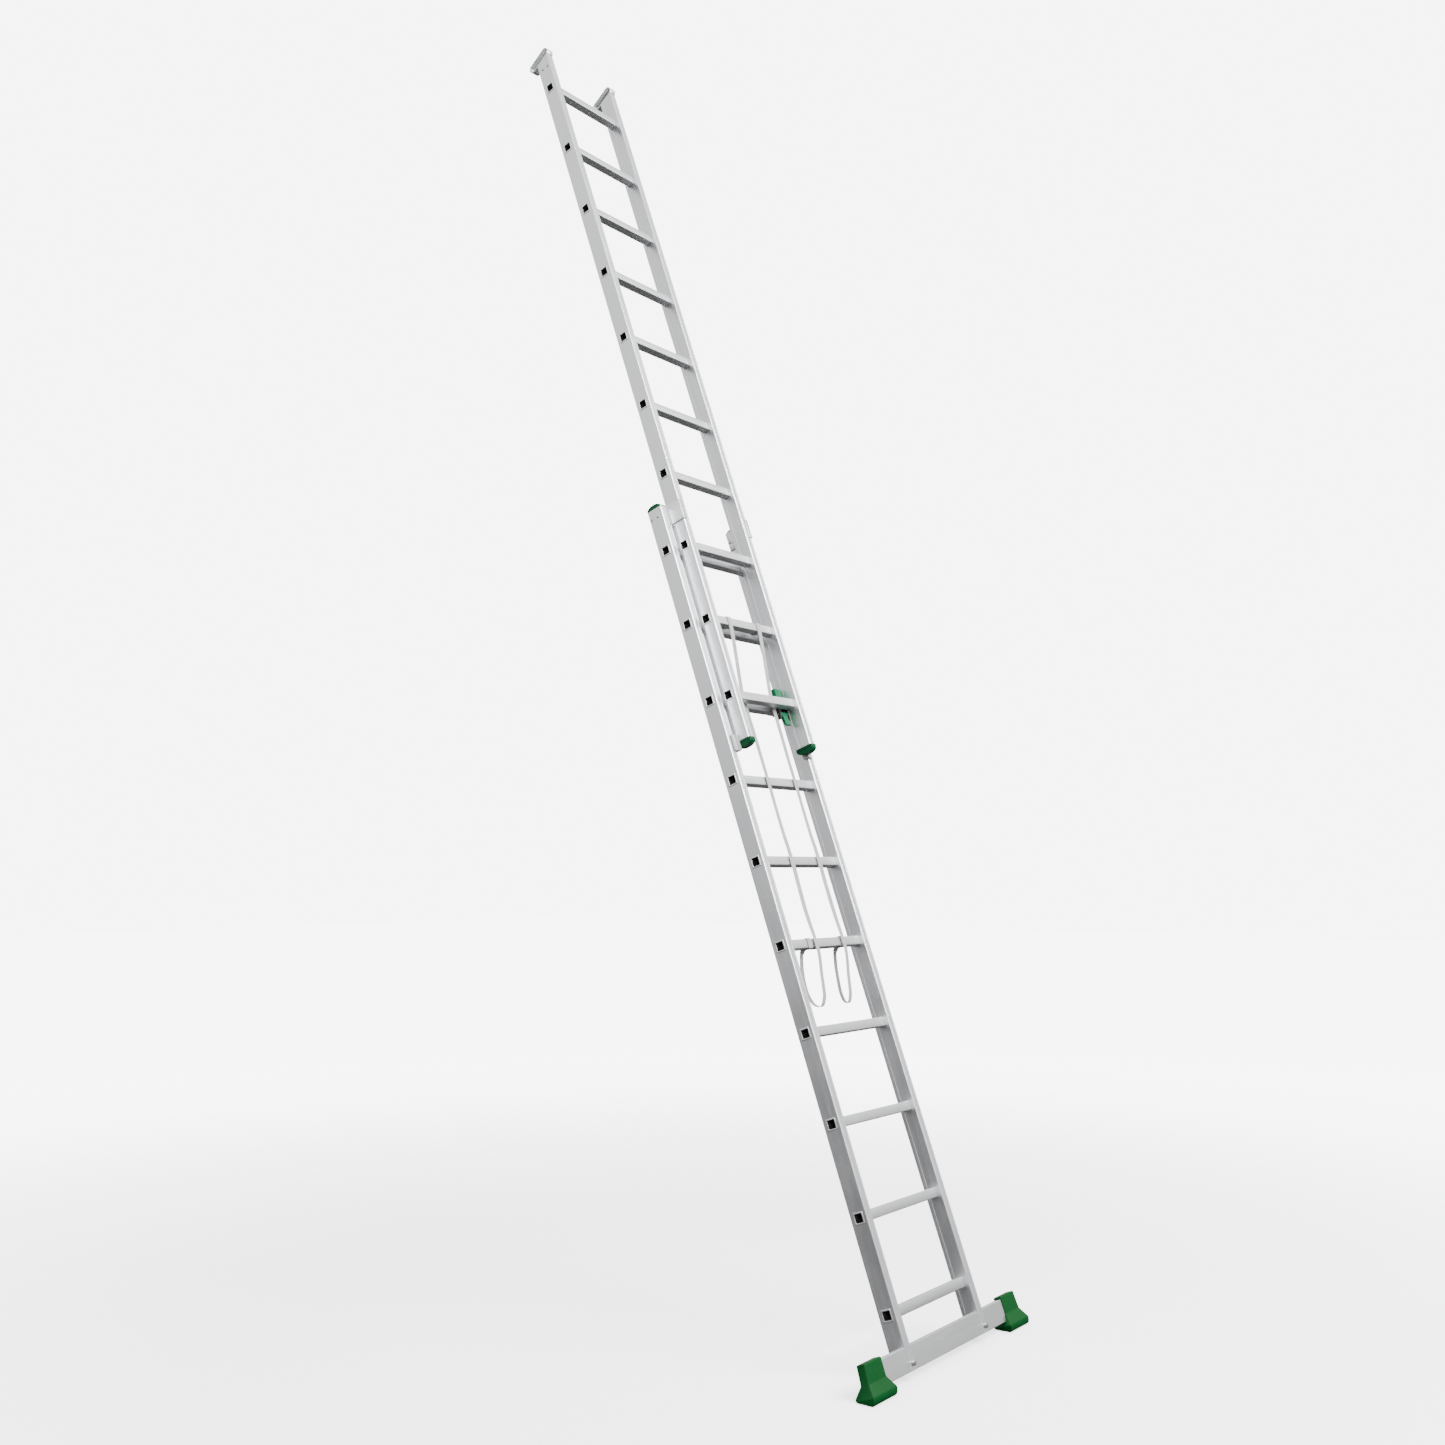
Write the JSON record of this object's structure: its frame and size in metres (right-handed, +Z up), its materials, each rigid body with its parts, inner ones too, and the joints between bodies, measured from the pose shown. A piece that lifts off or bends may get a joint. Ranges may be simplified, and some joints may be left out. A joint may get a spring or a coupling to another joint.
{
  "type": "extension ladder",
  "caption": "Two-section aluminium push-up extension ladder with square rungs, rung hooks, wall rests and a stabiliser bar on wide feet, leaning at its working angle.",
  "frame": {"origin": "centre of the object's footprint box, on the floor", "axes": "+Z up, +X along the rungs to the right as seen from the climbing side, +Y towards the wall that the ladder leans on"},
  "size_m": [0.964, 1.6618, 4.5846],
  "materials": {
    "stile_aluminium": "extruded satin",
    "rung_aluminium": "extruded satin, ribbed tread",
    "bar_aluminium": "mill finish",
    "plated_steel": "zinc plated",
    "black_steel": "black, semi-matt",
    "green_cap_plastic": "moulded, fine texture",
    "latch_plastic": "moulded, satin gloss",
    "foot_rubber": "moulded, matt",
    "grey_plastic": "moulded",
    "webbing": "woven polyester webbing"
  },
  "bodies": {
    "base_section": {"base_stile_left": "stile_aluminium", "base_stile_right": "stile_aluminium", "base_rung_01": "rung_aluminium", "base_rung_02": "rung_aluminium", "base_rung_03": "rung_aluminium", "base_rung_04": "rung_aluminium", "base_rung_05": "rung_aluminium", "base_rung_06": "rung_aluminium", "base_rung_07": "rung_aluminium", "base_rung_08": "rung_aluminium", "base_rung_09": "rung_aluminium", "base_rung_10": "rung_aluminium", "base_top_cap_left": "green_cap_plastic", "base_top_cap_right": "green_cap_plastic", "guide_bracket_left": "stile_aluminium", "guide_bracket_right": "stile_aluminium", "guide_rivet_left_1": "plated_steel", "guide_rivet_left_2": "plated_steel", "guide_rivet_right_1": "plated_steel", "guide_rivet_right_2": "plated_steel", "stabiliser_bar": "bar_aluminium", "stabiliser_foot_left": "foot_rubber", "stabiliser_foot_right": "foot_rubber", "stabiliser_bolt_left": "plated_steel", "stabiliser_bolt_right": "plated_steel", "strap_left": "webbing", "strap_right": "webbing"},
    "fly_section": {"fly_stile_left": "stile_aluminium", "fly_stile_right": "stile_aluminium", "fly_rung_01": "rung_aluminium", "fly_rung_02": "rung_aluminium", "fly_rung_03": "rung_aluminium", "fly_rung_04": "rung_aluminium", "fly_rung_05": "rung_aluminium", "fly_rung_06": "rung_aluminium", "fly_rung_07": "rung_aluminium", "fly_rung_08": "rung_aluminium", "fly_rung_09": "rung_aluminium", "fly_rung_10": "rung_aluminium", "fly_bottom_cap_left": "green_cap_plastic", "fly_bottom_cap_right": "green_cap_plastic", "guide_shoe_left": "grey_plastic", "guide_shoe_right": "grey_plastic", "wall_rest_left": "bar_aluminium", "wall_rest_right": "bar_aluminium", "wall_rest_rivet_left_1": "plated_steel", "wall_rest_rivet_left_2": "plated_steel", "wall_rest_rivet_right_1": "plated_steel", "wall_rest_rivet_right_2": "plated_steel", "rung_hook_left": "black_steel", "rung_hook_right": "black_steel", "hook_pad_left": "latch_plastic", "hook_pad_right": "latch_plastic", "lever_pin_left": "plated_steel", "lever_pin_right": "plated_steel", "strap_loop_left": "webbing", "strap_loop_right": "webbing"},
    "lever_left": {"latch_lever_left": "latch_plastic"},
    "lever_right": {"latch_lever_right": "latch_plastic"}
  },
  "joints": [
    {"name": "fly_slide", "type": "slide", "parent": "base_section", "child": "fly_section", "axis": [0, 0.3338, 0.9426], "range_m": [-1.68, 0]},
    {"name": "lever_left_pivot", "type": "hinge", "parent": "fly_section", "child": "lever_left", "pos_m": [-0.138, -0.106, 2.00197], "axis": [1, 0, 0], "range_deg": [-55, 0], "stiffness_Nm_per_rad": 0.06, "springref_deg": 20.05},
    {"name": "lever_right_pivot", "type": "hinge", "parent": "fly_section", "child": "lever_right", "pos_m": [0.138, -0.106, 2.00197], "axis": [1, 0, 0], "range_deg": [-55, 0], "stiffness_Nm_per_rad": 0.06, "springref_deg": 20.05}
  ]
}
